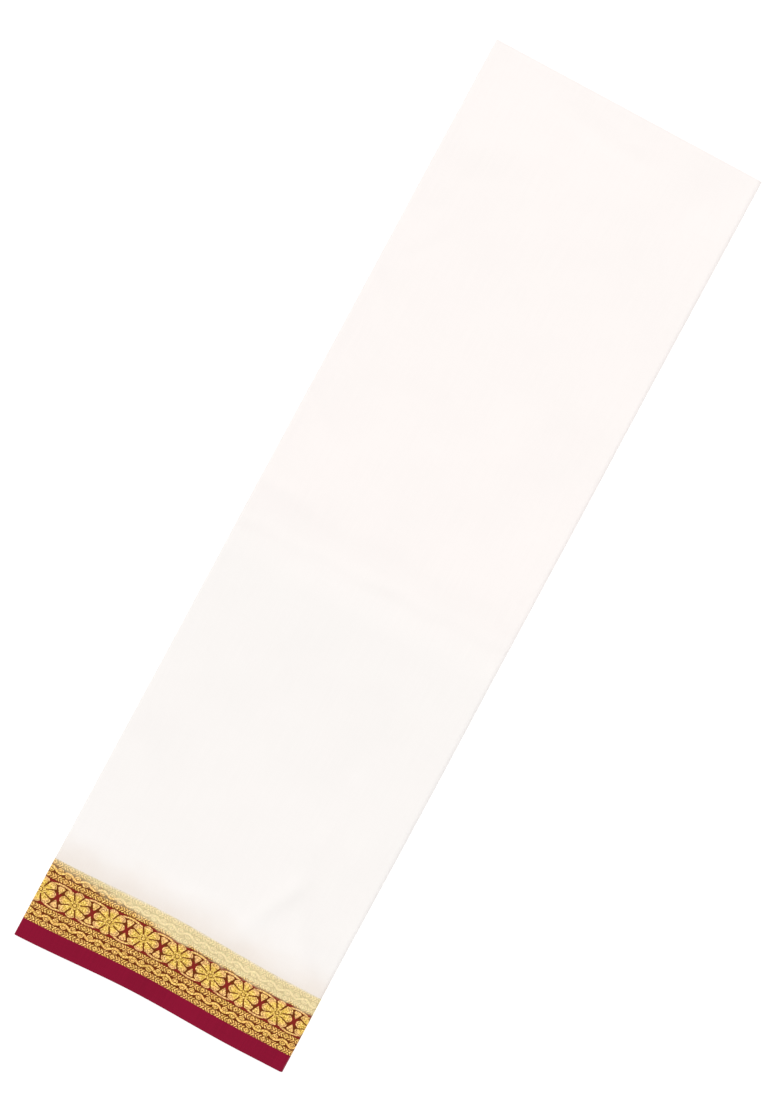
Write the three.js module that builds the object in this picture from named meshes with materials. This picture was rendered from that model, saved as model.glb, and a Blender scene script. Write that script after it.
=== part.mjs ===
// A silk sari with a woven gold border, folded for the shelf and lying flat.
// The cloth is one loom length. It is folded in half four times along that length, so sixteen
// panels lie on each other in a long strip. The strip is as long as the cloth is wide: the
// bordered selvages meet at its -Y end, and the plain selvages at its +Y end.
// The last fold runs down the +X side and holds all the layers. The -X side is open: it shows the
// third fold, the second, the first, and the two ends of the cloth.
// Millimetres, +Z up, the origin under the middle of the strip on the surface it lies on.
import * as THREE from "three";

// Driving dimensions
const sariLength = 5500;
const sariWidth = 1158;
const halvings = 4;
const layers = 2 ** halvings;
const panelWidth = sariLength / layers;
const edgeWidth = 22; // plain maroon band along the selvage
const zariWidth = 77; // gold brocade bands beside it
const wall = 1; // one layer of silk with its air
const seam = 0.3; // left between neighbouring solids

// How high the folded stack stands, by the share of the way from the bordered end to the plain one
const sections = [
  { along: 0, left: 10.8, middle: 11.3, right: 11.0 },
  { along: 0.04, left: 11.6, middle: 12.0, right: 11.9 },
  { along: 0.082, left: 11.4, middle: 11.7, right: 11.7 },
  { along: 0.13, left: 10.9, middle: 10.9, right: 11.2 },
  { along: 0.28, left: 10.8, middle: 10.5, right: 11.2 },
  { along: 0.43, left: 10.9, middle: 10.6, right: 11.0 },
  { along: 0.47, left: 10.2, middle: 9.7, right: 10.2 }, // soft crease across the strip
  { along: 0.51, left: 10.8, middle: 10.5, right: 11.0 },
  { along: 0.72, left: 10.7, middle: 10.3, right: 11.1 },
  { along: 0.92, left: 10.4, middle: 10.1, right: 10.8 },
  { along: 1, left: 9.7, middle: 9.5, right: 10.0 },
];

// The edges that show on the open -X side, from the underside up. inset is how far each one stays
// behind the outermost fold, and round how deep its fold curves, or 0 for an end of the cloth
const openEdges = [
  { layers: 1, inset: 3.6, round: 0 },
  { layers: 2, inset: 1.5, round: 0.9 },
  { layers: 4, inset: 2.6, round: 1.8 },
];
const underInset = 2.2; // the cloth's outer end, on the underside
const lastFoldDepth = 5; // how far the +X fold curves out past the flat panels
const turnDepth = 3; // the same, for the outermost fold of the -X side
const turnLip = 7; // length of the panel that goes in under that fold

// The bordered end bows in between its corners and leans in towards the last fold. Both die out
// along the strip, the lean first
const bowRise = 4;
const bowCentre = -25;
const bowHalf = 145; // from the bow's highest place to where it has gone, across the strip
const bowReach = 400;
const endLean = 6;
const leanReach = 140;
const selvageNotch = 0.7; // depth of the grooves between layers at both ends
const selvageSlip = 0.9; // how unevenly the hidden layers end
const slipTurn = 2.4; // radians of that unevenness from one layer to the next

// Bands across the cloth, each from its own start to its own end, measured from the bordered selvage
const borderWidth = edgeWidth + zariWidth;
const bands = [
  { name: "edge", from: 0, to: edgeWidth, color: 0x881936, roughness: 0.55, metalness: 0 },
  { name: "zari", from: edgeWidth, to: borderWidth, color: 0xcea157, roughness: 0.45, metalness: 0.3 },
  { name: "ground", from: borderWidth, to: sariWidth, color: 0xfdf8f5, roughness: 0.6, metalness: 0 },
];

// Counts of flats
const panelColumns = 10;
const foldSteps = 10;
const lipSteps = 2;

const half = panelWidth / 2;
const { lerp, smoothstep } = THREE.MathUtils;

// Height of the whole stack over the surface, at a place across and along the strip
function stackHeight(x, reach) {
  const along = reach / sariWidth;
  const next = Math.max(1, sections.findIndex((row) => row.along >= along));
  const [before, after] = [sections[next - 1], sections[next]];
  const share = smoothstep(along, before.along, after.along);
  const [left, middle, right] = ["left", "middle", "right"].map((side) =>
    lerp(before[side], after[side], share),
  );
  const side = x / half;
  return middle + ((right - left) / 2) * side + ((left + right) / 2 - middle) * side ** 2;
}

// Where a point of the cloth lies along the strip. reach is its distance from the bordered selvage
function alongStrip(x, reach) {
  const bow = bowRise * (1 - smoothstep(Math.abs(x - bowCentre), 0, bowHalf));
  const held = 1 - smoothstep(reach, borderWidth, bowReach);
  const lean = endLean * (0.5 + x / panelWidth) * Math.max(0, 1 - reach / leanReach);
  return reach - sariWidth / 2 + bow * held + lean;
}

// Stations along one band: the table's rows inside it, its own ends, and one station between each
// two, kept half a seam inside the neighbouring band
function stationsOf(band) {
  const start = band.from === 0 ? 0 : band.from + seam / 2;
  const end = band.to === sariWidth ? sariWidth : band.to - seam / 2;
  const inside = sections
    .map((row) => row.along * sariWidth)
    .filter((reach) => reach > start + wall && reach < end - wall);
  const ends = [start, ...inside, end];
  return ends.flatMap((reach, n) => (n ? [(ends[n - 1] + reach) / 2, reach] : [reach]));
}

// A solid made by bending a block of cells. place gives the point, in millimetres, of each
// lattice corner, and turns +i, +j, +k into a right-handed set of directions
function bentBlock(name, band, [across, along, up], place) {
  const points = [];
  const faces = [];
  const known = new Map();
  const corner = (i, j, k) => {
    const key = `${i},${j},${k}`;
    if (!known.has(key)) {
      known.set(key, points.length / 3);
      points.push(...place(i, j, k));
    }
    return known.get(key);
  };
  const skin = (columns, rows, at, outward) => {
    for (let u = 0; u < columns; u++) {
      for (let v = 0; v < rows; v++) {
        const ring = [at(u, v), at(u + 1, v), at(u + 1, v + 1), at(u, v + 1)];
        const [a, b, c, d] = outward ? ring : ring.reverse();
        faces.push(a, b, c, a, c, d);
      }
    }
  };
  for (const outward of [false, true]) {
    skin(across, along, (u, v) => corner(u, v, outward ? up : 0), outward);
    skin(along, up, (u, v) => corner(outward ? across : 0, u, v), outward);
    skin(up, across, (u, v) => corner(v, outward ? along : 0, u), outward);
  }
  const geometry = new THREE.BufferGeometry();
  geometry.setAttribute("position", new THREE.Float32BufferAttribute(points, 3));
  geometry.setIndex(faces);
  geometry.computeVertexNormals();
  const { color, roughness, metalness } = band;
  const silk = new THREE.MeshStandardMaterial({ color, roughness, metalness });
  const solid = new THREE.Mesh(geometry, silk);
  solid.name = `${name}_${band.name}`;
  return solid;
}

// The uppermost panel, a wall that follows the top of the stack between its two folds
function topPanel(band, stations) {
  const left = -half + turnDepth + seam;
  const right = half - lastFoldDepth - seam;
  return bentBlock("top_panel", band, [panelColumns, stations.length - 1, 1], (i, j, k) => {
    const x = lerp(left, right, i / panelColumns);
    const reach = stations[j];
    return [x, alongStrip(x, reach), stackHeight(x, reach) - wall * (1 - k)];
  });
}

// The lowest panel, flat on the surface, from the cloth's outer end to the last fold
function underPanel(band, stations) {
  const left = -half + underInset;
  const right = half - lastFoldDepth - seam;
  return bentBlock("under_panel", band, [panelColumns, stations.length - 1, 1], (i, j, k) => {
    const x = lerp(left, right, i / panelColumns);
    return [x, alongStrip(x, stations[j]), wall * k];
  });
}

// The last fold, a wall that turns from the lowest panel up to the uppermost one
function lastFold(band, stations) {
  return bentBlock("last_fold", band, [1, stations.length - 1, foldSteps], (i, j, k) => {
    const turn = Math.PI * (k / foldSteps - 0.5);
    const middle = stackHeight(half, stations[j]) / 2;
    const inner = wall * (1 - i);
    const x = half - lastFoldDepth + (lastFoldDepth - inner) * Math.cos(turn);
    return [x, alongStrip(x, stations[j]), middle + (middle - inner) * Math.sin(turn)];
  });
}

// The third fold's outermost wall: from the uppermost panel round to the lip that goes inside
function turnedFold(band, stations) {
  const steps = foldSteps + lipSteps;
  return bentBlock("turned_fold", band, [1, stations.length - 1, steps], (i, j, k) => {
    const turn = Math.PI * (Math.max(0, k - lipSteps) / foldSteps - 0.5);
    const inward = (turnLip - turnDepth) * Math.max(0, 1 - k / lipSteps);
    const height = stackHeight(-half, stations[j]);
    const radius = height / 4 - wall * i;
    const x = -half + turnDepth - (turnDepth - wall * i) * Math.cos(turn) + inward;
    return [x, alongStrip(x, stations[j]), (3 * height) / 4 + radius * Math.sin(turn)];
  });
}

// One level of the hidden layers: its share of the way up the lower or the upper part of the
// stack, how far its -X side stays in, and how far its ends stay in
function hiddenLevels() {
  const levels = [];
  const slip = (layer) => (selvageSlip / 2) * (1 + Math.sin(slipTurn * layer));
  const lowerCount = openEdges.reduce((sum, edge) => sum + edge.layers, 0);
  const upperCount = layers / 2 - 2; // inside the third fold
  const grooveInset = turnLip + seam;
  const curve = (share) => 1 - Math.sqrt(Math.max(0, 1 - (2 * share - 1) ** 2));
  const level = (part, share, inset, layer, notch) =>
    levels.push({ part, share, inset, setback: slip(layer) + notch * selvageNotch });

  let layer = 0;
  for (const { layers: count, inset, round } of openEdges) {
    for (let n = 0; n < count; n++, layer++) {
      const depth = round || selvageNotch;
      level("lower", layer / lowerCount, inset + depth * curve(n / count), layer, 1);
      level("lower", (layer + 0.5) / lowerCount, inset + round * curve((n + 0.5) / count), layer, 0);
    }
  }
  level("lower", 1, grooveInset, layer, 1);
  level("groove", 0.5, grooveInset, layer, 0);
  const foldDepth = turnDepth - wall - seam;
  for (let n = 0; n < upperCount; n++, layer++) {
    const start = n ? wall + seam + foldDepth * curve(n / upperCount) : grooveInset;
    level("upper", n / upperCount, start, layer, 1);
    const inset = wall + seam + foldDepth * curve((n + 0.5) / upperCount);
    level("upper", (n + 0.5) / upperCount, inset, layer, 0);
  }
  level("upper", 1, turnDepth, layer, 1);
  return levels;
}

// The fourteen layers between the lowest and the uppermost panel, as one solid. Its -X side is
// stepped into the folds, its +X side fills the last fold, and its two ends are grooved by layer
function hiddenLayers(band, stations) {
  const levels = hiddenLevels();
  const rows = stations.length - 1;
  const inside = wall + seam;
  return bentBlock("hidden_layers", band, [panelColumns, rows, levels.length - 1], (i, j, k) => {
    const { part, share, inset, setback } = levels[k];
    const heightAt = (x) => {
      const height = stackHeight(x, stations[j]);
      const [low, high] = {
        lower: [inside, height / 2 - seam],
        groove: [height / 2 - seam, height / 2 + wall + seam],
        upper: [height / 2 + wall + seam, height - inside],
      }[part];
      return lerp(low, high, share);
    };
    const middle = stackHeight(half, stations[j]) / 2;
    const lean = Math.min(1, Math.abs(heightAt(half) - middle) / (middle - inside));
    const left = -half + inset;
    const right = half - lastFoldDepth + (lastFoldDepth - inside) * Math.sqrt(1 - lean ** 2);
    const x = lerp(left, right, i / panelColumns);
    const atEnd = (band.from === 0 && j === 0) - (band.to === sariWidth && j === rows);
    return [x, alongStrip(x, stations[j]) + atEnd * setback, heightAt(x)];
  });
}

const sari = new THREE.Group();
for (const band of bands) {
  const stations = stationsOf(band);
  for (const stretch of [topPanel, lastFold, turnedFold, underPanel, hiddenLayers]) {
    sari.add(stretch(band, stations));
  }
}

export default sari;
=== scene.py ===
# A silk sari folded for the shelf and lying flat: plain off-white silk, a gold zari border woven on
# maroon, and a plain maroon selvage. It is one cloth in sixteen panels, and each one is a real layer.
# Metres. +X is the side of the last fold, and +Y runs from the bordered selvage to the plain one.
import math

import bpy
import numpy as np
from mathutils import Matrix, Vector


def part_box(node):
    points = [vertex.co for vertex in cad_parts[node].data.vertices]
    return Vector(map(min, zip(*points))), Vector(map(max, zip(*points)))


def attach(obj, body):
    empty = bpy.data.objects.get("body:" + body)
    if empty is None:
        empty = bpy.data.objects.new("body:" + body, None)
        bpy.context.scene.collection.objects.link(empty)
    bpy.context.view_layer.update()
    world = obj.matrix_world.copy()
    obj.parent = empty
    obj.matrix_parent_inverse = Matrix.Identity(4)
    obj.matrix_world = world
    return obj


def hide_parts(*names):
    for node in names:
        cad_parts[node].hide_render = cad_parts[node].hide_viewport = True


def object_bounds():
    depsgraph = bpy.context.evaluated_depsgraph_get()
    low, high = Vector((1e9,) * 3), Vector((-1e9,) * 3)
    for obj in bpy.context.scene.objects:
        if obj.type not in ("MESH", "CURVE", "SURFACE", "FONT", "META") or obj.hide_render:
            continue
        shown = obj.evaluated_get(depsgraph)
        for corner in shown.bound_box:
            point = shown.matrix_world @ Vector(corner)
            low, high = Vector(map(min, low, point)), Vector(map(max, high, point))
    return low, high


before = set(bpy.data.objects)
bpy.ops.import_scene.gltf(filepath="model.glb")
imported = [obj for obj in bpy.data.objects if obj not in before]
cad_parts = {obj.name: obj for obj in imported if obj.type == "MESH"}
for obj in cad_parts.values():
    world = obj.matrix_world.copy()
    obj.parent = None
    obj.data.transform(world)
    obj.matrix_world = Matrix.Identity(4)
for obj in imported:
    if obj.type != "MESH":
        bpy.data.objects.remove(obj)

mm = 0.001
cadLow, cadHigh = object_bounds()

sari = {
    "length": 5.5,  # off the loom, from the outer end to the inner end
    "panels": 16,
    "silk": 0.34 * mm,  # thickness of one layer
    "seam": 0.3 * mm,  # between the frame's solids, closed by the cloth
    "outerFoldSteps": 18,
    "turnSteps": 14,
    "lipSteps": 2,
    "panelStep": 3 * mm,
    "rowStep": {"edge": 1.8 * mm, "zari": 1.8 * mm, "ground": 3.5 * mm},
    "underStep": 6 * mm,
    "underRowStep": {"edge": 3 * mm, "zari": 4 * mm, "ground": 10 * mm},
    "firstRow": 0.15 * mm,  # so close to each band's ends that only this much of them looks rounded
    "outerWander": 0.25 * mm,  # how far the two outermost folds leave a straight line
}

# The fourteen layers inside, counted from the underside up
innerLayers = {
    "panelSteps": 26,
    "foldSteps": 8,
    "rowStep": {"edge": 3.4 * mm, "zari": 6 * mm, "ground": 18 * mm},
    "firstFold": {"inset": 1.5 * mm, "round": 0.9 * mm},  # from the outermost fold, and how deep it curves
    "secondFold": {"inset": 2.6 * mm, "round": 1.8 * mm},
    "innerEnd": {"inset": 3.6 * mm},
    "unevenGaps": 0.42,  # share by which one layer's room differs from the next
    "gapTurns": (1.9, 2.7),  # from one layer to the next
    "gapAcross": (0.047, 0.031),  # m over which that changes
    "gapAlong": 0.09,
    "edgeWander": 0.55 * mm,  # how far the folds and ends leave a straight line
    "wanderSeeds": (900, 1700),  # by where a fold starts and by its depth
    "setback": (0.25 * mm, 1.25 * mm),  # least and most that a selvage hides behind the uppermost one
    "setbackDepth": 26 * mm,  # how far in from the selvage that takes up
    "setbackByLayer": {"share": 0.4, "turn": 2.4},
    "setbackAcross": {"share": 0.1, "length": 0.021},
}

# How high the stack stands, in mm, by the share of the way from the bordered selvage
stackProfile = [
    {"along": 0, "left": 10.8, "middle": 11.3, "right": 11.0},
    {"along": 0.04, "left": 11.6, "middle": 12.0, "right": 11.9},
    {"along": 0.082, "left": 11.4, "middle": 11.7, "right": 11.7},
    {"along": 0.13, "left": 10.9, "middle": 10.9, "right": 11.2},
    {"along": 0.28, "left": 10.8, "middle": 10.5, "right": 11.2},
    {"along": 0.43, "left": 10.9, "middle": 10.6, "right": 11.0},
    {"along": 0.47, "left": 10.2, "middle": 9.7, "right": 10.2},  # crease across the strip
    {"along": 0.51, "left": 10.8, "middle": 10.5, "right": 11.0},
    {"along": 0.72, "left": 10.7, "middle": 10.3, "right": 11.1},
    {"along": 0.92, "left": 10.4, "middle": 10.1, "right": 10.8},
    {"along": 1, "left": 9.7, "middle": 9.5, "right": 10.0},
]

borderedEnd = {
    "bowRise": 4 * mm,  # it bows in between its corners
    "bowCentre": -25 * mm,
    "bowHalf": 145 * mm,
    "bowGone": 400 * mm,  # at this distance from the selvage
    "lean": 6 * mm,  # it leans in towards the last fold
    "leanGone": 140 * mm,
}

# Creases of the uppermost panels in mm, each from one (x, reach) to another, where reach is the
# distance from the bordered selvage. A rise below zero is a trough
creases = [
    {"start": (-172, 541), "end": (172, 552), "rise": 0.26, "width": 8},  # inside the crease across
    {"start": (-150, 568), "end": (120, 576), "rise": -0.22, "width": 16},
    {"start": (122, 1085), "end": (136, 610), "rise": -1.4, "width": 34},  # sunk inside the last fold
    {"start": (93, 1060), "end": (96, 850), "rise": -0.26, "width": 16},
    {"start": (96, 790), "end": (90, 640), "rise": -0.22, "width": 14},
    {"start": (-92, 800), "end": (-98, 600), "rise": -0.8, "width": 36},  # the open side slopes down inwards
    {"start": (-121, 1000), "end": (-136, 965), "rise": -0.34, "width": 11},
    {"start": (-119, 925), "end": (-141, 893), "rise": -0.28, "width": 9},
    {"start": (-158, 850), "end": (-134, 812), "rise": -0.30, "width": 9},
    {"start": (-166, 700), "end": (-120, 668), "rise": -0.24, "width": 10},
    {"start": (-168, 596), "end": (-110, 584), "rise": 0.22, "width": 9},
    {"start": (30, 985), "end": (22, 880), "rise": 0.30, "width": 24},
    {"start": (52, 112), "end": (86, 204), "rise": 0.95, "width": 11},  # pressed in above the border
    {"start": (86, 200), "end": (92, 330), "rise": 0.6, "width": 11},
    {"start": (90, 204), "end": (142, 116), "rise": -0.85, "width": 13},
    {"start": (98, 128), "end": (98, 165), "rise": -0.6, "width": 20},
    {"start": (104, 300), "end": (70, 420), "rise": -0.30, "width": 16},
    {"start": (-140, 262), "end": (-112, 190), "rise": -0.36, "width": 15},
    {"start": (-70, 470), "end": (-20, 300), "rise": -0.22, "width": 30},
    {"start": (20, 130), "end": (-90, 112), "rise": 0.24, "width": 12},
    {"start": (-60, 1120), "end": (40, 1112), "rise": -0.26, "width": 12},
    {"start": (-172, 1040), "end": (60, 1064), "rise": 0.18, "width": 20},
]

# Each crease bends a little from side to side and is uneven in depth. Bend, bendLength and fade
# are shares of its width
creaseShape = {
    "bend": 0.22,
    "bendLength": 1.6,
    "bendPhase": 20,
    "uneven": 0.3,
    "unevenLength": 31,  # mm
    "fade": 1.5,  # beyond its ends
}

# Slow, small waves of a folded edge or an end of the cloth: share, length in m, and turn by its seed
wanderWaves = [(0.6, 0.061, 2.3), (0.4, 0.143, -1.1)]

# Slow unevenness of the whole stack, in mm: each wave's rise, lengths across and along, and turn
swells = [
    {"rise": 0.16, "across": 260, "along": 310, "turn": 0.4, "phase": 0.3},
    {"rise": 0.12, "across": 140, "along": 420, "turn": -0.7, "phase": 1.9},
    {"rise": 0.08, "across": 95, "along": 170, "turn": 0.9, "phase": 4.1},
    {"rise": 0.05, "across": 61, "along": 88, "turn": -0.5, "phase": 2.6},
]


# Places read from the frame
def corner(node, which):
    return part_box(node)[which]


halfWidth = cadHigh.x
clothWidth = cadHigh.y - cadLow.y  # selvage to selvage
panelWidth = sari["length"] / sari["panels"]
foldCentre = corner("top_panel_ground", 1).x + sari["seam"]  # where the last fold starts to curve
turnCentre = corner("top_panel_ground", 0).x - sari["seam"]  # where the third fold does
foldDepth = halfWidth - foldCentre
turnDepth = halfWidth + turnCentre
lipEnd = corner("turned_fold_ground", 1).x
outerEnd = corner("under_panel_ground", 0).x
edgeWidth = corner("turned_fold_zari", 0).y - cadLow.y - sari["seam"] / 2
borderWidth = corner("turned_fold_ground", 0).y - cadLow.y - sari["seam"] / 2
panelColumns = round((foldCentre - turnCentre) / sari["panelStep"])
bands = {"edge": (0, edgeWidth), "zari": (edgeWidth, borderWidth), "ground": (borderWidth, clothWidth)}
print("frame read: strip", round(2 * halfWidth, 4), "by", round(clothWidth, 4), "m")


# The cloth's form
def smoothstep(value, low, high):
    share = np.clip((value - low) / (high - low), 0, 1)
    return share * share * (3 - 2 * share)


def alongStrip(x, reach):
    sideways = abs(x - borderedEnd["bowCentre"])
    bow = borderedEnd["bowRise"] * (1 - smoothstep(sideways, 0, borderedEnd["bowHalf"]))
    held = 1 - smoothstep(reach, borderWidth, borderedEnd["bowGone"])
    lean = borderedEnd["lean"] * (0.5 + x / panelWidth) * np.maximum(0, 1 - reach / borderedEnd["leanGone"])
    return cadLow.y + reach + bow * held + lean


def creaseRise(x, reach):
    total = 0 * x
    for crease in creases:
        (fromX, fromReach), (toX, toReach) = crease["start"], crease["end"]
        width = crease["width"]
        length = math.hypot(toX - fromX, toReach - fromReach)
        wayX, wayReach = (toX - fromX) / length, (toReach - fromReach) / length
        along = (x - fromX) * wayX + (reach - fromReach) * wayReach
        across = (x - fromX) * wayReach - (reach - fromReach) * wayX
        beyond = np.maximum(0, np.maximum(-along, along - length))
        phase = creaseShape["bendPhase"] * crease["rise"]
        bend = creaseShape["bend"] * width * np.sin(along / (creaseShape["bendLength"] * width) + phase)
        uneven = 1 + creaseShape["uneven"] * np.sin(along / creaseShape["unevenLength"] + width)
        fade = np.exp(-(((across + bend) / width) ** 2) - (beyond / (creaseShape["fade"] * width)) ** 2)
        total = total + crease["rise"] * uneven * fade
    return total


def swellRise(x, reach):
    total = 0 * x
    for swell in swells:
        turnX, turnReach = math.cos(swell["turn"]), math.sin(swell["turn"])
        across = (x * turnX + reach * turnReach) / swell["across"]
        along = (reach * turnX - x * turnReach) / swell["along"]
        wave = np.sin(2 * np.pi * across + swell["phase"]) * np.cos(2 * np.pi * along - swell["phase"])
        total = total + swell["rise"] * wave
    return total


# Height of the uppermost layer's outside over the surface that the sari lies on
def stackHeight(x, reach):
    x, reach = np.broadcast_arrays(x, reach)
    along = reach / clothWidth
    sides = {}
    for side in ("left", "middle", "right"):
        height = np.full(x.shape, float(stackProfile[0][side]))
        for before, after in zip(stackProfile, stackProfile[1:]):
            height += (after[side] - before[side]) * smoothstep(along, before["along"], after["along"])
        sides[side] = height
    share = x / halfWidth
    lean = (sides["right"] - sides["left"]) / 2
    crown = (sides["left"] + sides["right"]) / 2 - sides["middle"]
    plain = sides["middle"] + lean * share + crown * share**2
    return mm * (plain + creaseRise(x / mm, reach / mm) + swellRise(x / mm, reach / mm))


# Middle of one layer, as a share of the stack's height. The eight lower and the eight upper layers
# share their halves of it unevenly, in a way that changes over the cloth
def layerShare(layer, x, reach):
    (turn, back), (wide, narrow) = innerLayers["gapTurns"], innerLayers["gapAcross"]

    def room(n):
        slow = np.sin(turn * n + x / wide)
        uneven = slow + np.sin(back * n - x / narrow + reach / innerLayers["gapAlong"])
        return 1 + innerLayers["unevenGaps"] * uneven / 2

    half = sari["panels"] // 2
    first = 1 if layer <= half else half + 1
    under = sum(room(n) for n in range(first, layer)) if layer > first else 0
    total = sum(room(n) for n in range(first, first + half))
    return (0 if first == 1 else 0.5) + 0.5 * (under + room(layer) / 2) / total


def rowsOf(start, end, step):
    return np.linspace(start, end, max(2, round((end - start) / step)) + 1)


def wander(reach, seed, most):
    return most * sum(share * np.sin(reach / length + turn * seed) for share, length, turn in wanderWaves)


# The outermost stretch: round the last fold, over the top, round the third fold and in under it
def outerPath(reach):
    turn = np.radians(np.linspace(-90, 90, sari["outerFoldSteps"] + 1))
    foldX = foldCentre + (foldDepth + wander(reach, 1, sari["outerWander"])) * np.cos(turn)
    panelX = np.linspace(foldCentre, turnCentre, panelColumns + 1) + 0 * reach
    back = np.radians(np.linspace(90, -90, sari["turnSteps"] + 1))
    turnX = turnCentre - (turnDepth + wander(reach, 2, sari["outerWander"])) * np.cos(back)
    lipX = np.linspace(turnCentre, lipEnd, sari["lipSteps"] + 1) + 0 * reach
    x = np.hstack([foldX, panelX[:, 1:], turnX[:, 1:], lipX[:, 1:]])
    share = np.concatenate([
        (1 + np.sin(turn)) / 2,
        np.ones(panelColumns),
        (3 + np.sin(back[1:])) / 4,
        np.full(sari["lipSteps"], 0.5),
    ])
    return x, stackHeight(x, reach) * share


# The lowest panel, flat on the surface, from the cloth's outer end to the last fold
def underPath(reach):
    share = np.linspace(0, 1, round((foldCentre - outerEnd) / sari["underStep"]) + 1)
    start = outerEnd + wander(reach, 3, innerLayers["edgeWander"])
    x = start + (foldCentre - start) * share
    return x, 0 * x


# Everything between: fourteen panels, each turning into the next round a fold inside the outer one
def innerPath(reach):
    order = [9, 8, 5, 12, 13, 4, 3, 14, 11, 6, 7, 10, 15, 2]  # the layer of each panel in turn
    first, second = innerLayers["firstFold"], innerLayers["secondFold"]
    openFolds = [
        # each fold's two layers, where it starts to curve and how deep it curves
        ((3, 4), first["inset"] + first["round"], first["round"]),
        ((5, 8), second["inset"] + second["round"], second["round"]),
        ((6, 7), second["inset"] + second["round"], second["round"] / 3),
        ((10, 15), turnDepth, turnDepth * 5 / 8),
        ((11, 14), turnDepth, turnDepth * 3 / 8),
        ((12, 13), turnDepth, turnDepth / 8),
    ]
    foldOf = {layer: (centre, depth) for pair, centre, depth in openFolds for layer in pair}
    foldOf[order[0]] = (lipEnd + halfWidth, 0)
    foldOf[order[-1]] = (innerLayers["innerEnd"]["inset"], 0)
    steps = np.linspace(0, 1, innerLayers["panelSteps"] + 1)
    arc = np.radians(np.linspace(-90, 90, innerLayers["foldSteps"] + 1)[1:-1])
    blend = (1 + np.sin(arc)) / 2
    seeds = innerLayers["wanderSeeds"]
    xs, shares, layers = [], [], []
    for n, layer in enumerate(order):
        centre, depth = foldOf[layer]
        pairSeed = centre * seeds[0] + depth * seeds[1]  # the two layers of one fold wander together
        left = -halfWidth + centre + wander(reach, pairSeed, innerLayers["edgeWander"])
        towardsLastFold = n % 2 == 0
        x = left + (foldCentre - left) * (steps if towardsLastFold else steps[::-1])
        xs.append(x)
        shares.append(layerShare(layer, x, reach))
        layers.append(layer + 0 * x)
        if n + 1 == len(order):
            break
        after = order[n + 1]
        if towardsLastFold:
            x = foldCentre + foldDepth * abs(after - layer) / sari["panels"] * np.cos(arc) + 0 * reach
        else:
            x = left - depth * np.cos(arc)
        here, there = layerShare(layer, x, reach), layerShare(after, x, reach)
        xs.append(x)
        shares.append(here + (there - here) * blend)
        layers.append(layer + (after - layer) * blend + 0 * x)
    x = np.hstack(xs)
    return x, stackHeight(x, reach) * np.hstack(shares), np.hstack(layers)


# How far a layer's selvages hide behind the uppermost layer's, fading out along the strip
def setback(layer, x, reach):
    least, most = innerLayers["setback"]
    byLayer, acrossIt = innerLayers["setbackByLayer"], innerLayers["setbackAcross"]
    uneven = byLayer["share"] * np.sin(byLayer["turn"] * layer)
    slow = acrossIt["share"] * np.sin(x / acrossIt["length"] + layer)
    amount = least + (most - least) * (0.5 + uneven + slow)
    depth = innerLayers["setbackDepth"]
    atBorder = 1 - smoothstep(reach, 0, depth)
    atPlain = smoothstep(reach, clothWidth - depth, clothWidth)
    return amount * (atBorder - atPlain)


# A closed thin shell on a grid of points. Rows run along the strip and columns along the sari
def clothShell(name, points, cloth, outside, inside):
    rows, columns = points.shape[:2]
    alongRows = np.gradient(points, axis=0)
    alongColumns = np.gradient(points, axis=1)
    normal = np.cross(alongRows, alongColumns)
    normal /= np.linalg.norm(normal, axis=2, keepdims=True)
    skins = [points + normal * outside, points + normal * inside]
    number = np.arange(rows * columns).reshape(rows, columns)
    a, b, c, d = number[:-1, :-1], number[:-1, 1:], number[1:, 1:], number[1:, :-1]
    back = rows * columns
    outer = np.stack([a, d, c, b], axis=-1).reshape(-1, 4)
    inner = np.stack([a, b, c, d], axis=-1).reshape(-1, 4) + back

    def rim(line):
        here, there = line[:-1], line[1:]
        return np.stack([here, there, there + back, here + back], axis=-1)

    rims = [rim(number[0]), rim(number[-1][::-1]), rim(number[::-1, 0]), rim(number[:, -1])]
    faces = np.vstack([outer, inner, *rims])
    mesh = bpy.data.meshes.new(name)
    mesh.from_pydata(np.vstack([skin.reshape(-1, 3) for skin in skins]).tolist(), [], faces.tolist())
    smooth = np.arange(len(faces)) < len(outer) + len(inner)
    mesh.polygons.foreach_set("use_smooth", smooth)
    layer = mesh.uv_layers.new(name="cloth")
    flat = np.vstack([cloth.reshape(-1, 2)] * 2)
    layer.data.foreach_set("uv", flat[faces.ravel()].astype(np.float32).ravel())
    mesh.validate()
    piece = bpy.data.objects.new(name, mesh)
    bpy.context.scene.collection.objects.link(piece)
    return piece


# Place on the loom of every point: along the sari from its outer end, and across from the selvage
def loomPlace(x, z, reach, start):
    steps = np.hypot(np.diff(x, axis=1), np.diff(z, axis=1)).mean(axis=0)
    along = start + np.concatenate([[0], np.cumsum(steps)])
    return np.stack(np.broadcast_arrays(along, reach), axis=-1)


# One stretch of the sari as three pieces, one for each band, with rows that meet at the seams
def makeStretch(name, path, rowStep, start, skins, stands):
    for band, (near, far) in bands.items():
        edgeRows = [near + sari["firstRow"], far - sari["firstRow"]]
        reach = np.sort(np.append(rowsOf(near, far, rowStep[band]), edgeRows))[:, None]
        x, z, *layer = path(reach)
        y = alongStrip(x, reach)
        if layer:
            y = y + setback(layer[0], x, reach)
        place = loomPlace(x, z, reach, start)
        piece = clothShell(f"{name}_{band}", np.stack([x, y, z], axis=-1), place, *skins)
        piece.data.materials.append(finishOf(name, band))
        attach(piece, "root")
        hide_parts(*[f"{stand}_{band}" for stand in stands])
        length = float(place[0, -1, 0] - start)
    print(name, "made:", round(length, 3), "m of the sari")
    return start + length


# Finishes
def srgb(red, green, blue):
    def linear(value):
        share = value / 255
        return share / 12.92 if share <= 0.04045 else ((share + 0.055) / 1.055) ** 2.4

    return (linear(red), linear(green), linear(blue), 1)


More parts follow.
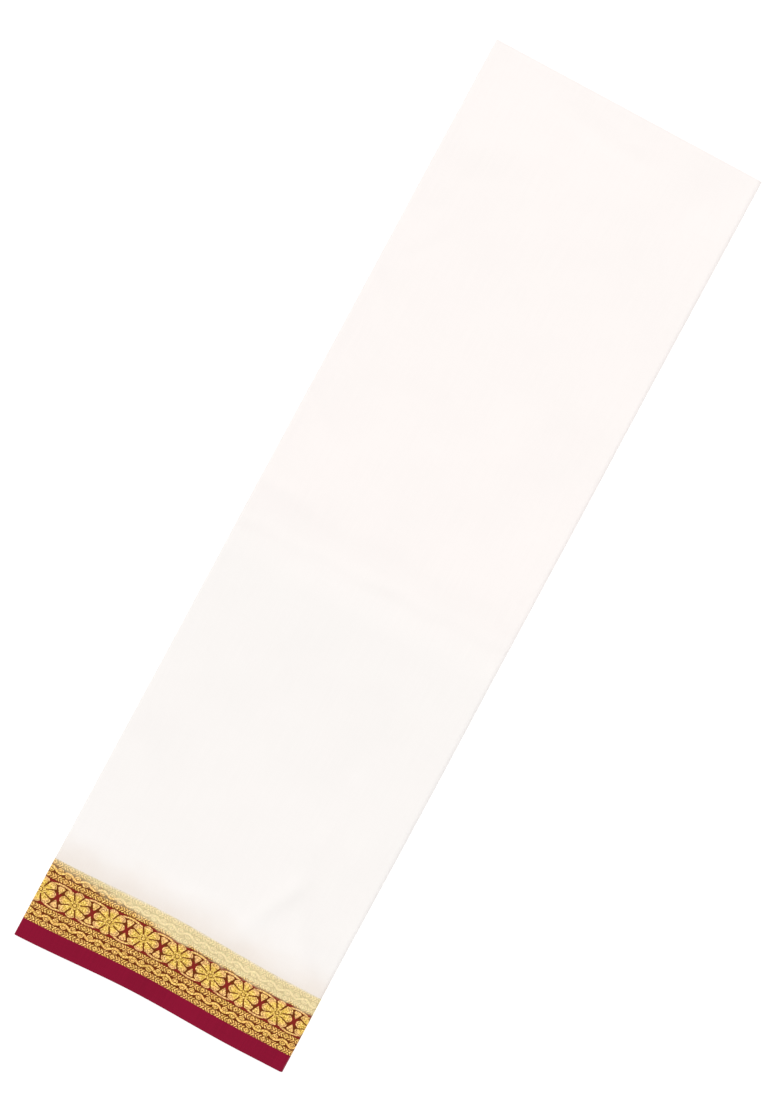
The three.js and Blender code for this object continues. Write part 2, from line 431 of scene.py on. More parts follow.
# The plain weave that all three finishes share. Noise scales are per mm, along the sari and across it
weaveLook = {
    "driftScale": (0.11, 0.11, 1),
    "drift": 1.6,  # mm that the threads wander
    "slubScale": (1.1, 0.016, 1),
    "endScale": (0.02, 0.7, 1),
    "endShare": 0.4,
    "cloudScale": (0.012, 0.009, 1),
    "cloudShare": 0.7,
    "crossHeight": 0.3,
    "slubHeight": 0.8,
}

groundSilk = {
    "colour": srgb(251, 245, 242),
    "shadedBorderSide": srgb(248, 244, 241),  # painted shade, a little darker from the crease across to the border
    "creaseAt": 0.545,  # m from the selvage
    "creaseSoft": 60,  # mm
    "nearBorder": srgb(238, 228, 219),  # a warm shade just above the border
    "shadeHalf": 17,  # mm above the border, where it is half gone
    "shadeSoft": 28,  # mm to either side of there, over which it dies out
    "shadeRagged": 28,  # mm
    "shadeScale": (0.021, 0.03, 1),
    "relief": 0.05,  # mm
    "thread": 0.36,  # mm
    "slub": 0.035,
    "roughness": 0.46,
    "specular": 0.3,
    "sheen": 0.1,
    "sheenTint": (1, 0.98, 0.96, 1),
    "sheenRoughness": 0.4,
}

edgeSilk = {
    "colour": srgb(137, 15, 48),
    "thread": 0.36,
    "slub": 0.42,
    "relief": 0.06,
    "roughness": 0.42,
    "specular": 0.06,
    "sheen": 0.12,
    "sheenTint": srgb(190, 30, 80),
    "sheenRoughness": 0.35,
}

# The zari's pattern, in mm. Heights are from the middle line of its flowers, the same up and down
zari = {
    "repeat": 43.4,  # from one flower to the next
    "firstFlower": 2.1,  # from the open edge of the uppermost panel
    "middle": 38.5,  # from the zari's edge to its middle line
    "flowerStretch": 1.3,  # flowers are wider than high
    # each petal's way out, in degrees from level, its reach and the radius of its round end
    "petals": [(0, 14.6, 4.5), (46, 15.8, 5.2), (90, 15.3, 4.6)],
    "partings": (26, 68.5),  # dark lines between petals, in degrees from level
    "partingLine": 0.75,
    "partingWidens": 0.085,  # by this share for every mm from the flower's centre
    "hub": 4.7,  # within this the petals are one
    "hubSoft": 0.3,
    "heartRing": 2.0,
    "heartLine": 0.75,
    # a kite above and below, between two flowers, with a round end
    "bud": {"from": 3.3, "to": 12.4, "spread": 31, "roundBack": 4, "roundness": 4.9},
    "arch": {"halfWidth": 21.8, "halfHeight": 14.4, "thickness": 1.9, "until": 14, "clear": 0.35},
    "flowerBand": 15.6,
    "chevronBands": [(16.5, 22.6), (31.9, 38.4)],
    "waveBand": (23.3, 31.2),
    "chevronPitch": 3.3,
    "chevronLine": 1.95,
    "chevronLean": 0.9,
    "chevronShift": 0.2,
    "chevronSoft": 0.2,
    "ring": {"clear": 2.9, "middle": 1.6, "thickness": 1.6},
    "waveRise": 2.1,
    "waveLine": 2.5,
    "waveClear": 0.9,  # kept dark on both sides of the wave
    "waveDisc": 2.6,
    "discSquash": 0.74,
    "discLine": {"at": 1.4, "thickness": 0.4},
    "waveDiscs": (-1.3, 1.4),  # under each crest, and over each trough
    "beadLine": 1.4,  # in from a petal's outline
    "beadPitch": 1.5,
    "beadThickness": 0.8,
    "beadDepth": 0.35,
    "maroonHeart": 5.2,  # round the middle between two flowers
    "maroonAbove": 13.0,
    "maroonSoft": (0.8, 0.6),
    "outlineSoft": 0.14,
    "wobble": 0.45,
    "wobbleScale": (0.9, 0.9, 1),  # noise scales are per mm, along the sari and across it
    "tips": {"from": 11.5, "soft": 2.2},  # how far out the petals' tips change colour
    "yellower": {"scale": (0.07, 0.11, 1), "above": 0.52, "soft": 0.09, "share": 0.45},
    "grain": 2.8,  # how strongly the painted glints' light and dark specks differ
    "grainScale": (0.62, 0.56, 1),
    "paintedHighlight": {"above": 0.48, "gain": 4.5, "most": 0.9},
    "threadScale": (0.8, 1.7, 1),
    "speckScale": (0.42, 0.5, 1),
    "glint": {"thread": 0.7, "speck": 0.9, "base": 0.24, "least": 0.3},
    "thread": 0.3,
    "slub": 0.3,
    "gold": srgb(255, 193, 104),
    "highlightGold": srgb(255, 210, 130),  # painted highlight of the brightest specks
    "petalGold": srgb(235, 194, 84),
    "tipGold": srgb(242, 186, 122),
    "dark": srgb(108, 46, 4),
    "flowerGround": srgb(132, 32, 24),
    "metallic": 0.35,
    "specular": 0.12,
    "goldRoughness": 0.38,
    "darkRoughness": 0.55,
    "relief": 0.16,
    "goldHeight": 0.8,  # share of the relief
    "threadHeight": 0.2,
}

# A pale haze over the inner bands of the uppermost panel, deeper towards its last fold
veil = {
    "overGold": srgb(243, 225, 178),
    "overCloth": srgb(222, 203, 154),
    "patches": srgb(230, 220, 166),
    "patch": {"scale": (0.32, 0.3, 1), "above": 0.54, "soft": 0.1, "share": 0.55},
    "share": 0.9,
    "from": 77.0,  # mm from the selvage
    "higherAtOpenSide": 19.0,
    "dyingOut": 165.0,
    "soft": 3.0,
    "ragged": 12,
    "raggedScale": (0.07, 0.2, 1),
    "grain": 0.6,
    "grainScale": (0.4, 0.42, 1),
    "softerAtOpenSide": 9.0,
    "paler": 1.2,  # over this much it goes over into the plain silk
    "palerRagged": 6,
    "palerShare": 0.4,
}


def put(tree, kind, **settings):
    node = tree.nodes.new("ShaderNode" + kind)
    for key, value in settings.items():
        setattr(node, key, value)
    return node


def feed(tree, value, socket):
    if isinstance(value, bpy.types.NodeSocket):
        tree.links.new(value, socket)
    else:
        socket.default_value = value


# A short way to write sums with Math nodes
def calculator(tree):
    def calc(operation, *values):
        node = put(tree, "Math", operation=operation)
        for socket, value in zip(node.inputs, values):
            feed(tree, value, socket)
        return node.outputs[0]

    return calc


# 1 where a distance is below zero, 0 above it, with a soft step of the given width
def within(tree, distance, soft):
    node = put(tree, "MapRange", interpolation_type="SMOOTHSTEP")
    feed(tree, distance, node.inputs["Value"])
    node.inputs["From Min"].default_value = -soft
    node.inputs["From Max"].default_value = soft
    node.inputs["To Min"].default_value = 1
    node.inputs["To Max"].default_value = 0
    return node.outputs["Result"]


def mixColours(tree, share, first, second, blend="MIX"):
    node = put(tree, "Mix", data_type="RGBA", blend_type=blend)
    feed(tree, share, node.inputs[0])
    feed(tree, first, node.inputs[6])
    feed(tree, second, node.inputs[7])
    return node.outputs[2]


def noise(tree, vector, stretch, detail=2):
    scaled = put(tree, "VectorMath", operation="MULTIPLY")
    feed(tree, vector, scaled.inputs[0])
    scaled.inputs[1].default_value = stretch
    node = put(tree, "TexNoise")
    node.inputs["Scale"].default_value = 1
    node.inputs["Detail"].default_value = detail
    tree.links.new(scaled.outputs[0], node.inputs["Vector"])
    return node


# An empty node group with its sockets, and its two end nodes
def newGroup(name, inputs, outputs):
    group = bpy.data.node_groups.new(name, "ShaderNodeTree")
    for label, kind, value in inputs:
        socket = group.interface.new_socket(label, in_out="INPUT", socket_type="NodeSocket" + kind)
        if value is not None:
            socket.default_value = value
    for label, kind in outputs:
        group.interface.new_socket(label, in_out="OUTPUT", socket_type="NodeSocket" + kind)
    return group, group.nodes.new("NodeGroupInput"), group.nodes.new("NodeGroupOutput")


# Fine plain weave with slubs, long thick places in the threads that lie across the sari
def makeSilkWeave():
    inputs = [("Place", "Vector", None), ("Thread", "Float", 0.36), ("Slub", "Float", 0.05)]
    outputs = [("Shade", "Float"), ("Height", "Float")]
    group, given, result = newGroup("silkWeave", inputs, outputs)
    calc = calculator(group)
    place = given.outputs["Place"]
    apart = put(group, "SeparateXYZ")
    feed(group, place, apart.inputs[0])
    drift = noise(group, place, weaveLook["driftScale"]).outputs["Fac"]
    uneven = calc("MULTIPLY", calc("SUBTRACT", drift, 0.5), weaveLook["drift"])
    turns = calc("DIVIDE", 2 * math.pi, given.outputs["Thread"])
    warp = calc("SINE", calc("MULTIPLY", calc("ADD", apart.outputs["X"], uneven), turns))
    weft = calc("SINE", calc("MULTIPLY", calc("ADD", apart.outputs["Y"], uneven), turns))
    slub = noise(group, place, weaveLook["slubScale"], 3).outputs["Fac"]
    ends = noise(group, place, weaveLook["endScale"], 2).outputs["Fac"]
    cloud = noise(group, place, weaveLook["cloudScale"], 2).outputs["Fac"]
    endLines = calc("MULTIPLY", calc("SUBTRACT", ends, 0.5), weaveLook["endShare"])
    lines = calc("ADD", calc("SUBTRACT", slub, 0.5), endLines)
    change = calc("ADD", lines, calc("MULTIPLY", calc("SUBTRACT", cloud, 0.5), weaveLook["cloudShare"]))
    shade = calc("ADD", 1, calc("MULTIPLY", change, given.outputs["Slub"]))
    feed(group, shade, result.inputs["Shade"])
    cross = calc("MULTIPLY", calc("MULTIPLY", warp, weft), weaveLook["crossHeight"])
    slubs = calc("MULTIPLY", lines, weaveLook["slubHeight"])
    feed(group, calc("ADD", calc("ADD", cross, 0.5), slubs), result.inputs["Height"])
    return group


# A petal that widens from a point to a round end: distance to its outline, below zero inside
def petalDistance(calc, along, across, centre, radius):
    lean = math.asin(radius / centre)
    side = calc("SUBTRACT", calc("MULTIPLY", across, math.cos(lean)), calc("MULTIPLY", along, math.sin(lean)))
    ahead = calc("SUBTRACT", along, centre)
    squares = calc("ADD", calc("MULTIPLY", ahead, ahead), calc("MULTIPLY", across, across))
    tip = calc("SUBTRACT", calc("SQRT", squares), radius)
    reach = calc("ADD", calc("MULTIPLY", along, math.cos(lean)), calc("MULTIPLY", across, math.sin(lean)))
    beyond = calc("GREATER_THAN", reach, centre * math.cos(lean))
    return calc("ADD", side, calc("MULTIPLY", beyond, calc("SUBTRACT", tip, side)))


# Gold brocade: a row of eight-petalled flowers between bands of chevrons and waves
def makeZariPattern():
    inputs = [("Place", "Vector", None), ("FirstFlower", "Float", 0)]
    outputs = [("Colour", "Color"), ("Gold", "Float"), ("Height", "Float")]
    group, given, result = newGroup("zariPattern", inputs, outputs)
    calc = calculator(group)
    place = given.outputs["Place"]

    def inside(distance, edge=zari["outlineSoft"]):
        return within(group, distance, edge)

    def both(first, second):
        return calc("MULTIPLY", first, second)

    def notThis(mask):
        return calc("SUBTRACT", 1, mask)

    def far(first, second):
        squares = calc("ADD", calc("MULTIPLY", first, first), calc("MULTIPLY", second, second))
        return calc("SQRT", squares)

    # A line of the given thickness where a value is at a level
    def line(value, level, thickness, edge=zari["outlineSoft"]):
        off = calc("ABSOLUTE", calc("SUBTRACT", value, level))
        return inside(calc("SUBTRACT", off, thickness / 2), edge)

    # How far a place lies along and beside a way that starts at a flower's centre
    def turned(level, up, degrees):
        c, s = math.cos(math.radians(degrees)), math.sin(math.radians(degrees))
        along = calc("ADD", calc("MULTIPLY", level, c), calc("MULTIPLY", up, s))
        beside = calc("SUBTRACT", calc("MULTIPLY", level, s), calc("MULTIPLY", up, c))
        return along, calc("ABSOLUTE", beside)

    # Threads never lie quite straight, so every outline wavers a little
    waver = noise(group, place, zari["wobbleScale"], 1)
    apart = put(group, "SeparateXYZ")
    feed(group, place, apart.inputs[0])
    shift = put(group, "SeparateColor")
    feed(group, waver.outputs["Color"], shift.inputs[0])
    acrossShift = calc("MULTIPLY", calc("SUBTRACT", shift.outputs[0], 0.5), 2 * zari["wobble"])
    alongShift = calc("MULTIPLY", calc("SUBTRACT", shift.outputs[1], 0.5), 2 * zari["wobble"])
    u = calc("ADD", calc("SUBTRACT", apart.outputs["X"], given.outputs["FirstFlower"]), acrossShift)
    height = calc("ADD", calc("SUBTRACT", apart.outputs["Y"], edgeWidth / mm + zari["middle"]), alongShift)
    fromMiddle = calc("ABSOLUTE", height)
    half = zari["repeat"] / 2
    toFlower = calc("PINGPONG", u, half)
    toRing = calc("PINGPONG", u, half / 2)
    toBud = calc("SUBTRACT", half, toFlower)

    # Flowers
    level = calc("DIVIDE", toFlower, zari["flowerStretch"])
    petal = None
    for degrees, reach, radius in zari["petals"]:
        along, beside = turned(level, fromMiddle, degrees)
        one = petalDistance(calc, along, beside, reach - radius, radius)
        petal = one if petal is None else calc("MINIMUM", petal, one)
    toHeart = far(level, fromMiddle)
    petals = inside(petal)
    outsideHub = notThis(inside(calc("SUBTRACT", toHeart, zari["hub"]), zari["hubSoft"]))
    widening = calc("ADD", calc("MULTIPLY", toHeart, zari["partingWidens"]), 1)
    wider = calc("MULTIPLY", widening, zari["partingLine"] / 2)
    for degrees in zari["partings"]:
        parting = inside(calc("SUBTRACT", turned(level, fromMiddle, degrees)[1], wider))
        petals = both(petals, notThis(both(parting, outsideHub)))
    heart = line(toHeart, zari["heartRing"], zari["heartLine"])
    petals = both(petals, notThis(heart))
    bud = zari["bud"]
    budUp, budSide = calc("SUBTRACT", fromMiddle, bud["from"]), math.radians(bud["spread"])
    kiteOut = calc("MULTIPLY", toBud, math.cos(budSide))
    kite = calc("SUBTRACT", kiteOut, calc("MULTIPLY", budUp, math.sin(budSide)))
    kite = calc("MAXIMUM", kite, calc("SUBTRACT", fromMiddle, bud["to"]))
    toRound = far(toBud, calc("SUBTRACT", fromMiddle, bud["to"] - bud["roundBack"]))
    kite = calc("MAXIMUM", kite, calc("SUBTRACT", toRound, bud["roundness"]))
    beads = calc("SINE", calc("MULTIPLY", calc("ADD", u, height), 2 * math.pi / zari["beadPitch"]))
    beadRow = line(petal, -zari["beadLine"], zari["beadThickness"])
    beads = both(beadRow, calc("MULTIPLY", calc("ADD", beads, 1), zari["beadDepth"]))
    petals = both(petals, notThis(beads))
    arch = zari["arch"]
    oval = far(calc("DIVIDE", toBud, arch["halfWidth"]), calc("DIVIDE", fromMiddle, arch["halfHeight"]))
    offOval = calc("MULTIPLY", calc("SUBTRACT", oval, 1), arch["halfHeight"])
    archGold = both(line(offOval, 0, arch["thickness"]), inside(calc("SUBTRACT", toBud, arch["until"])))
    archGold = both(archGold, notThis(inside(calc("SUBTRACT", petal, arch["clear"]))))
    flowers = calc("MAXIMUM", calc("MAXIMUM", petals, archGold), inside(kite))
    flowerBand = inside(calc("SUBTRACT", fromMiddle, zari["flowerBand"]))
    gold = both(flowers, flowerBand)

    # Chevrons, with their points away from a ring at every half repeat
    ring = zari["ring"]
    for low, high in zari["chevronBands"]:
        offset = calc("ABSOLUTE", calc("SUBTRACT", fromMiddle, (low + high) / 2))
        band = inside(calc("SUBTRACT", offset, (high - low) / 2))
        lean = calc("ADD", toRing, calc("MULTIPLY", offset, zari["chevronLean"]))
        saw = calc("PINGPONG", calc("ADD", lean, zari["chevronShift"]), zari["chevronPitch"] / 2)
        bars = inside(calc("SUBTRACT", saw, zari["chevronLine"] / 2), zari["chevronSoft"])
        toCentre = far(toRing, offset)
        clear = inside(calc("SUBTRACT", toCentre, ring["clear"]))
        ringGold = line(toCentre, ring["middle"], ring["thickness"])
        bars = calc("MAXIMUM", both(bars, notThis(clear)), ringGold)
        gold = calc("MAXIMUM", gold, both(bars, band))

    # Waves, the same way up in both bands, with a disc under each crest and over each trough
    low, high = zari["waveBand"]
    offset = calc("SUBTRACT", height, calc("MULTIPLY", calc("SIGN", height), (low + high) / 2))
    band = inside(calc("SUBTRACT", calc("ABSOLUTE", offset), (high - low) / 2))
    phase = calc("MULTIPLY", toRing, 2 * math.pi / half)
    swing = calc("MULTIPLY", calc("COSINE", phase), zari["waveRise"])
    slope = calc("MULTIPLY", calc("SINE", phase), zari["waveRise"] * 2 * math.pi / half)
    offWave = calc("DIVIDE", calc("SUBTRACT", offset, swing), far(1, slope))
    wave = line(offWave, 0, zari["waveLine"])
    nearWave = line(offWave, 0, zari["waveLine"] + zari["waveClear"])
    discLine = zari["discLine"]
    crestDisc, troughDisc = zari["waveDiscs"]
    filling = None
    for along, up in ((toRing, crestDisc), (calc("SUBTRACT", half / 2, toRing), troughDisc)):
        toDisc = far(calc("MULTIPLY", along, zari["discSquash"]), calc("SUBTRACT", offset, up))
        dark = line(toDisc, discLine["at"], discLine["thickness"])
        disc = both(inside(calc("SUBTRACT", toDisc, zari["waveDisc"])), notThis(dark))
        filling = disc if filling is None else calc("MAXIMUM", filling, disc)
    wave = calc("MAXIMUM", wave, both(filling, notThis(nearWave)))
    gold = calc("MAXIMUM", gold, both(wave, band))

    # Colours, painted highlights and glints, and relief
    tips, yellow, paintedHighlight, glints = zari["tips"], zari["yellower"], zari["paintedHighlight"], zari["glint"]
    tipped = both(inside(calc("SUBTRACT", tips["from"], toHeart), tips["soft"]), flowerBand)
    metal = mixColours(group, flowerBand, zari["gold"], zari["petalGold"])
    metal = mixColours(group, tipped, metal, zari["tipGold"])
    yellower = noise(group, place, yellow["scale"], 2).outputs["Fac"]
    yellower = both(inside(calc("SUBTRACT", yellow["above"], yellower), yellow["soft"]), yellow["share"])
    metal = mixColours(group, yellower, metal, zari["petalGold"])
    # Painted highlight: random specks of the gold are turned towards a lighter, whiter gold
    grain = noise(group, place, zari["grainScale"], 1).outputs["Fac"]
    lit = calc("MULTIPLY", calc("MAXIMUM", calc("SUBTRACT", grain, paintedHighlight["above"]), 0), paintedHighlight["gain"])
    metal = mixColours(group, calc("MINIMUM", lit, paintedHighlight["most"]), metal, zari["highlightGold"])
    heartSoft, aboveSoft = zari["maroonSoft"]
    maroon = inside(calc("SUBTRACT", far(toBud, fromMiddle), zari["maroonHeart"]), heartSoft)
    above = inside(calc("SUBTRACT", zari["maroonAbove"], fromMiddle), aboveSoft)
    maroon = calc("MAXIMUM", maroon, above)
    cloth = mixColours(group, both(maroon, flowerBand), zari["dark"], zari["flowerGround"])
    thread = noise(group, place, zari["threadScale"], 2).outputs["Fac"]
    speck = noise(group, place, zari["speckScale"], 1).outputs["Fac"]
    # Painted glints: the gold's colour is lightened and darkened in random threads and specks, in place of
    # the metal threads' reflections
    glint = calc("ADD", calc("MULTIPLY", thread, glints["thread"]), calc("MULTIPLY", speck, glints["speck"]))
    glint = calc("ADD", glint, calc("MULTIPLY", calc("SUBTRACT", grain, 0.5), zari["grain"]))
    glint = calc("MAXIMUM", calc("ADD", glints["base"], glint), glints["least"])
    scaled = put(group, "VectorMath", operation="SCALE")
    feed(group, metal, scaled.inputs[0])
    feed(group, glint, scaled.inputs["Scale"])
    feed(group, mixColours(group, gold, cloth, scaled.outputs[0]), result.inputs["Colour"])
    feed(group, gold, result.inputs["Gold"])
    raised = calc("MULTIPLY", gold, zari["goldHeight"])
    feed(group, calc("ADD", raised, calc("MULTIPLY", thread, zari["threadHeight"])), result.inputs["Height"])
    return group


silkWeave = makeSilkWeave()
zariPattern = makeZariPattern()
print("weave and brocade patterns made")


# A material with its shader, the place on the loom in mm, and a group laid on it
def startMaterial(name):
    material = bpy.data.materials.new(name)
    material.use_nodes = True
    tree = material.node_tree
    tree.nodes.clear()
    shader = put(tree, "BsdfPrincipled")
    tree.links.new(shader.outputs[0], put(tree, "OutputMaterial").inputs["Surface"])
    cloth = put(tree, "UVMap", uv_map="cloth")
    place = put(tree, "VectorMath", operation="SCALE")
    feed(tree, cloth.outputs[0], place.inputs[0])
    place.inputs["Scale"].default_value = 1 / mm
    return material, tree, shader, place.outputs[0]


def addGroup(tree, group, **values):
    node = put(tree, "Group")
    node.node_tree = group
    for key, value in values.items():
        feed(tree, value, node.inputs[key])
    return node


def addRelief(tree, shader, height, depth):
    bump = put(tree, "Bump")
    bump.inputs["Distance"].default_value = depth * mm
    feed(tree, height, bump.inputs["Height"])
    feed(tree, bump.outputs[0], shader.inputs["Normal"])


def silkShader(shader, look):
    shader.inputs["Roughness"].default_value = look["roughness"]
    shader.inputs["Specular IOR Level"].default_value = look["specular"]
    shader.inputs["Sheen Tint"].default_value = look["sheenTint"]
    shader.inputs["Sheen Weight"].default_value = look["sheen"]
    shader.inputs["Sheen Roughness"].default_value = look["sheenRoughness"]


def makeGroundSilk():
    material, tree, shader, place = startMaterial("groundSilk")
    weave = addGroup(tree, silkWeave, Place=place, Thread=groundSilk["thread"], Slub=groundSilk["slub"])
    apart = put(tree, "SeparateXYZ")
    feed(tree, place, apart.inputs[0])
    calc = calculator(tree)
    # Painted shade: from the crease across to the border, the silk's colour is made a little darker
    beyondCrease = calc("SUBTRACT", apart.outputs["Y"], groundSilk["creaseAt"] / mm)
    shadedBorderSide = within(tree, beyondCrease, groundSilk["creaseSoft"])
    tone = mixColours(tree, shadedBorderSide, groundSilk["colour"], groundSilk["shadedBorderSide"])
    ragged = noise(tree, place, groundSilk["shadeScale"], 3).outputs["Fac"]
    ragged = calc("MULTIPLY", calc("SUBTRACT", ragged, 0.5), groundSilk["shadeRagged"])
    raggedReach = calc("ADD", apart.outputs["Y"], ragged)
    shade = calc("SUBTRACT", raggedReach, borderWidth / mm + groundSilk["shadeHalf"])
    tone = mixColours(tree, within(tree, shade, groundSilk["shadeSoft"]), tone, groundSilk["nearBorder"])
    shaded = put(tree, "VectorMath", operation="SCALE")
    feed(tree, tone, shaded.inputs[0])
    feed(tree, weave.outputs["Shade"], shaded.inputs["Scale"])
    feed(tree, shaded.outputs[0], shader.inputs["Base Color"])
    silkShader(shader, groundSilk)
    addRelief(tree, shader, weave.outputs["Height"], groundSilk["relief"])
    return material


def makeEdgeSilk():
    material, tree, shader, place = startMaterial("edgeSilk")
    weave = addGroup(tree, silkWeave, Place=place, Thread=edgeSilk["thread"], Slub=edgeSilk["slub"])
    shaded = put(tree, "VectorMath", operation="SCALE")
    shaded.inputs[0].default_value = edgeSilk["colour"][:3]
    feed(tree, weave.outputs["Shade"], shaded.inputs["Scale"])
    feed(tree, shaded.outputs[0], shader.inputs["Base Color"])
    silkShader(shader, edgeSilk)
    addRelief(tree, shader, weave.outputs["Height"], edgeSilk["relief"])
    return material


# The brocade. The uppermost stretch alone has the haze, given the place of its open edge
def makeZari(name, firstFlower, openEdge=None):
    material, tree, shader, place = startMaterial(name)
    calc = calculator(tree)
    pattern = addGroup(tree, zariPattern, Place=place, FirstFlower=firstFlower / mm)
    weave = addGroup(tree, silkWeave, Place=place, Thread=zari["thread"], Slub=zari["slub"])
    colour = pattern.outputs["Colour"]
    gold = pattern.outputs["Gold"]
    if openEdge is not None:
        apart = put(tree, "SeparateXYZ")
        feed(tree, place, apart.inputs[0])
        inwards = calc("SUBTRACT", openEdge / mm, apart.outputs["X"])
        dying = calc("SUBTRACT", 1, calc("DIVIDE", inwards, veil["dyingOut"]))
        dying = calc("MINIMUM", calc("MAXIMUM", dying, 0), 1)
        line = calc("ADD", veil["from"], calc("MULTIPLY", dying, veil["higherAtOpenSide"]))
        ragged = noise(tree, place, veil["raggedScale"], 3).outputs["Fac"]
        line = calc("ADD", line, calc("MULTIPLY", calc("SUBTRACT", ragged, 0.5), veil["ragged"]))
        soft = calc("ADD", veil["soft"], calc("MULTIPLY", dying, veil["softerAtOpenSide"]))
        hazed = within(tree, calc("DIVIDE", calc("SUBTRACT", line, apart.outputs["Y"]), soft), 1)
        shift = calc("MULTIPLY", calc("SUBTRACT", ragged, 0.5), veil["palerRagged"])
        paler = calc("ADD", apart.outputs["Y"], shift)
        paler = calc("SUBTRACT", borderWidth / mm - veil["paler"], paler)
        paler = calc("MULTIPLY", within(tree, paler, veil["paler"]), veil["palerShare"])
        share = calc("MULTIPLY", hazed, veil["share"])
        haze = mixColours(tree, gold, veil["overCloth"], veil["overGold"])
        patch = veil["patch"]
        patches = noise(tree, place, patch["scale"], 3).outputs["Fac"]
        patches = within(tree, calc("SUBTRACT", patch["above"], patches), patch["soft"])
        patches = calc("MULTIPLY", patches, patch["share"])
        haze = mixColours(tree, patches, haze, veil["patches"])
        # at its lower edge the haze goes over into the silk's colour with its painted shade
        haze = mixColours(tree, paler, haze, groundSilk["shadedBorderSide"])
        grain = noise(tree, place, veil["grainScale"], 2).outputs["Fac"]
        grain = calc("ADD", 1, calc("MULTIPLY", calc("SUBTRACT", grain, 0.5), veil["grain"]))
        grainy = put(tree, "VectorMath", operation="SCALE")
        feed(tree, haze, grainy.inputs[0])
        feed(tree, grain, grainy.inputs["Scale"])
        haze = grainy.outputs[0]
        colour = mixColours(tree, share, colour, haze)
        gold = calc("MULTIPLY", gold, calc("SUBTRACT", 1, share))
    shaded = put(tree, "VectorMath", operation="SCALE")
    feed(tree, colour, shaded.inputs[0])
    feed(tree, weave.outputs["Shade"], shaded.inputs["Scale"])
    feed(tree, shaded.outputs[0], shader.inputs["Base Color"])
    feed(tree, calc("MULTIPLY", gold, zari["metallic"]), shader.inputs["Metallic"])
    shader.inputs["Specular IOR Level"].default_value = zari["specular"]
    rough = calc("SUBTRACT", zari["darkRoughness"], zari["goldRoughness"])
    rough = calc("SUBTRACT", zari["darkRoughness"], calc("MULTIPLY", gold, rough))
    feed(tree, rough, shader.inputs["Roughness"])
    addRelief(tree, shader, pattern.outputs["Height"], zari["relief"])
    return material


# Where the uppermost stretch turns at the open side, on the loom
middleReach = np.full((1, 1), borderWidth / 2)
pathX, pathZ = outerPath(middleReach)
underX = underPath(middleReach)[0]
pathU = loomPlace(pathX, pathZ, middleReach, float(underX[0, -1] - underX[0, 0]))[0, :, 0]
openEdge = float(pathU[np.argmin(pathX[0])])
flowerX = zari["firstFlower"] * mm - halfWidth
topSide = pathU <= openEdge
firstFlower = float(np.interp(-flowerX, -pathX[0][topSide], pathU[topSide]))

finishes = {
    "ground": makeGroundSilk(),
    "edge": makeEdgeSilk(),
    "zari": makeZari("zariBrocade", firstFlower),
    "zariUppermost": makeZari("zariUppermost", firstFlower, openEdge),
}


def finishOf(stretch, band):
    return finishes["zariUppermost" if stretch == "outer" and band == "zari" else band]


# The cloth
outward = (0, -sari["silk"])  # skins of the outermost layers, from the path inwards
between = (sari["silk"] / 2, -sari["silk"] / 2)
place = makeStretch("under", underPath, sari["underRowStep"], 0, outward, ["under_panel"])
uppermost = ["top_panel", "last_fold", "turned_fold"]
place = makeStretch("outer", outerPath, sari["rowStep"], place, outward, uppermost)
place = makeStretch("inner", innerPath, innerLayers["rowStep"], place, between, ["hidden_layers"])
print("whole sari:", round(place, 3), "m long and", round(clothWidth, 3), "m wide")


# Floor, light and camera
studio = {
    "floorSize": 60,
    "floorDrop": 0.1 * mm,  # under the cloth, so that the two never share a plane
    "floorColour": (0.4, 0.4, 0.4, 1),
    "floorGlow": 0.85,  # a light table's
    "floorRoughness": 0.9,
    "skyLight": 0.775,
    "horizonLight": 0.47,
    "keyStrength": 1.77,
    "keySoftness": 24,  # degrees across
    "keyPlace": (-0.2, 1.08, 0.95),
    "cameraPlace": (-0.0002, 0.0049, 2.9875),
    "cameraTurn": 28.32,
    "lens": 85,
    "sensor": 36,
}


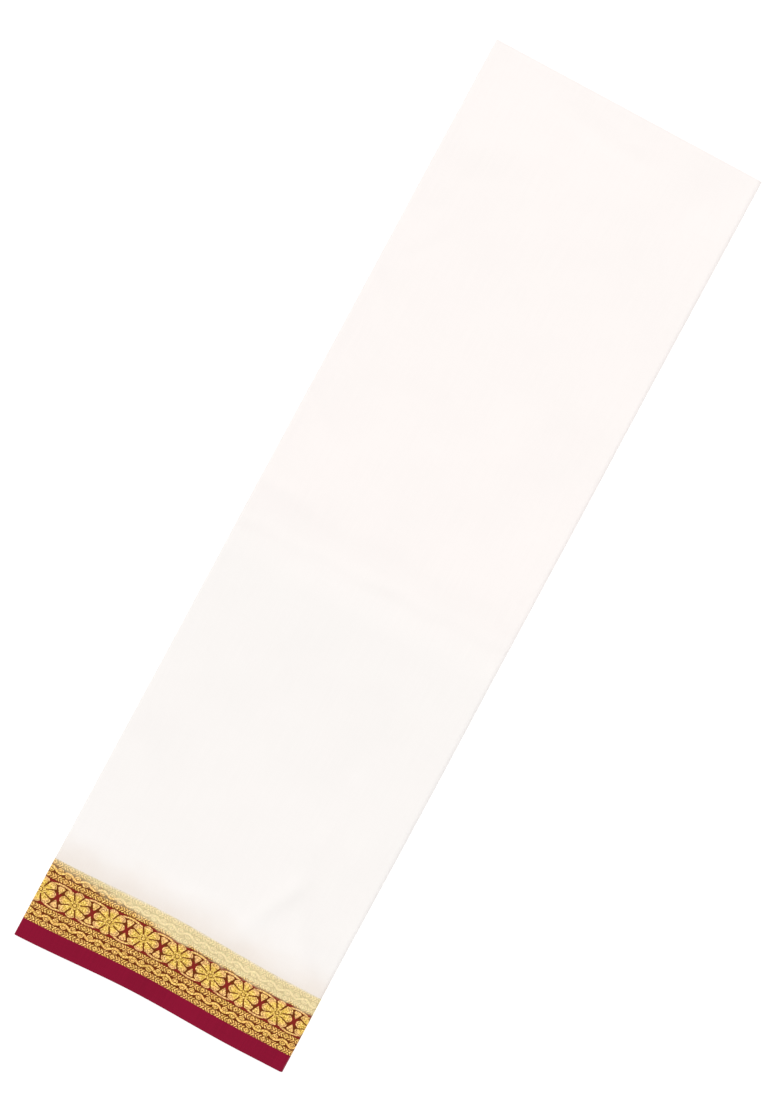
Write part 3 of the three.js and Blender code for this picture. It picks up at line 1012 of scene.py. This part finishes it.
def makeFloor():
    side = studio["floorSize"] / 2
    low = cadLow.z - studio["floorDrop"]
    mesh = bpy.data.meshes.new("floor")
    corners = [(-side, -side, low), (side, -side, low), (side, side, low), (-side, side, low)]
    mesh.from_pydata(corners, [], [(0, 1, 2, 3)])
    floor = bpy.data.objects.new("floor", mesh)
    bpy.context.scene.collection.objects.link(floor)
    material = bpy.data.materials.new("paleFloor")
    material.use_nodes = True
    shader = material.node_tree.nodes["Principled BSDF"]
    shader.inputs["Base Color"].default_value = studio["floorColour"]
    shader.inputs["Roughness"].default_value = studio["floorRoughness"]
    shader.inputs["Specular IOR Level"].default_value = 0
    shader.inputs["Emission Color"].default_value = (1, 1, 1, 1)
    shader.inputs["Emission Strength"].default_value = studio["floorGlow"]
    mesh.materials.append(material)


def makeStudio():
    scene = bpy.context.scene
    world = bpy.data.worlds.new("studio")
    world.use_nodes = True
    tree = world.node_tree
    apart = put(tree, "SeparateXYZ")
    feed(tree, put(tree, "TexCoord").outputs["Generated"], apart.inputs[0])
    height = put(tree, "MapRange")
    feed(tree, apart.outputs["Z"], height.inputs["Value"])
    height.inputs["To Min"].default_value = studio["horizonLight"]
    height.inputs["To Max"].default_value = studio["skyLight"]
    tree.nodes["Background"].inputs["Color"].default_value = (1, 1, 1, 1)
    feed(tree, height.outputs[0], tree.nodes["Background"].inputs["Strength"])
    scene.world = world
    scene.view_settings.view_transform = "Standard"
    light = bpy.data.lights.new("keyLight", "SUN")
    light.energy = studio["keyStrength"]
    light.angle = math.radians(studio["keySoftness"])
    key = bpy.data.objects.new("keyLight", light)
    key.location = studio["keyPlace"]
    key.rotation_euler = (-key.location).to_track_quat("-Z", "Y").to_euler()
    scene.collection.objects.link(key)
    lens = bpy.data.cameras.new("overhead")
    lens.lens = studio["lens"]
    lens.sensor_width = studio["sensor"]
    camera = bpy.data.objects.new("overhead", lens)
    camera.location = studio["cameraPlace"]
    camera.rotation_euler = (0, 0, math.radians(studio["cameraTurn"]))
    scene.collection.objects.link(camera)
    scene.camera = camera


makeFloor()
makeStudio()
print("floor, light and camera set")
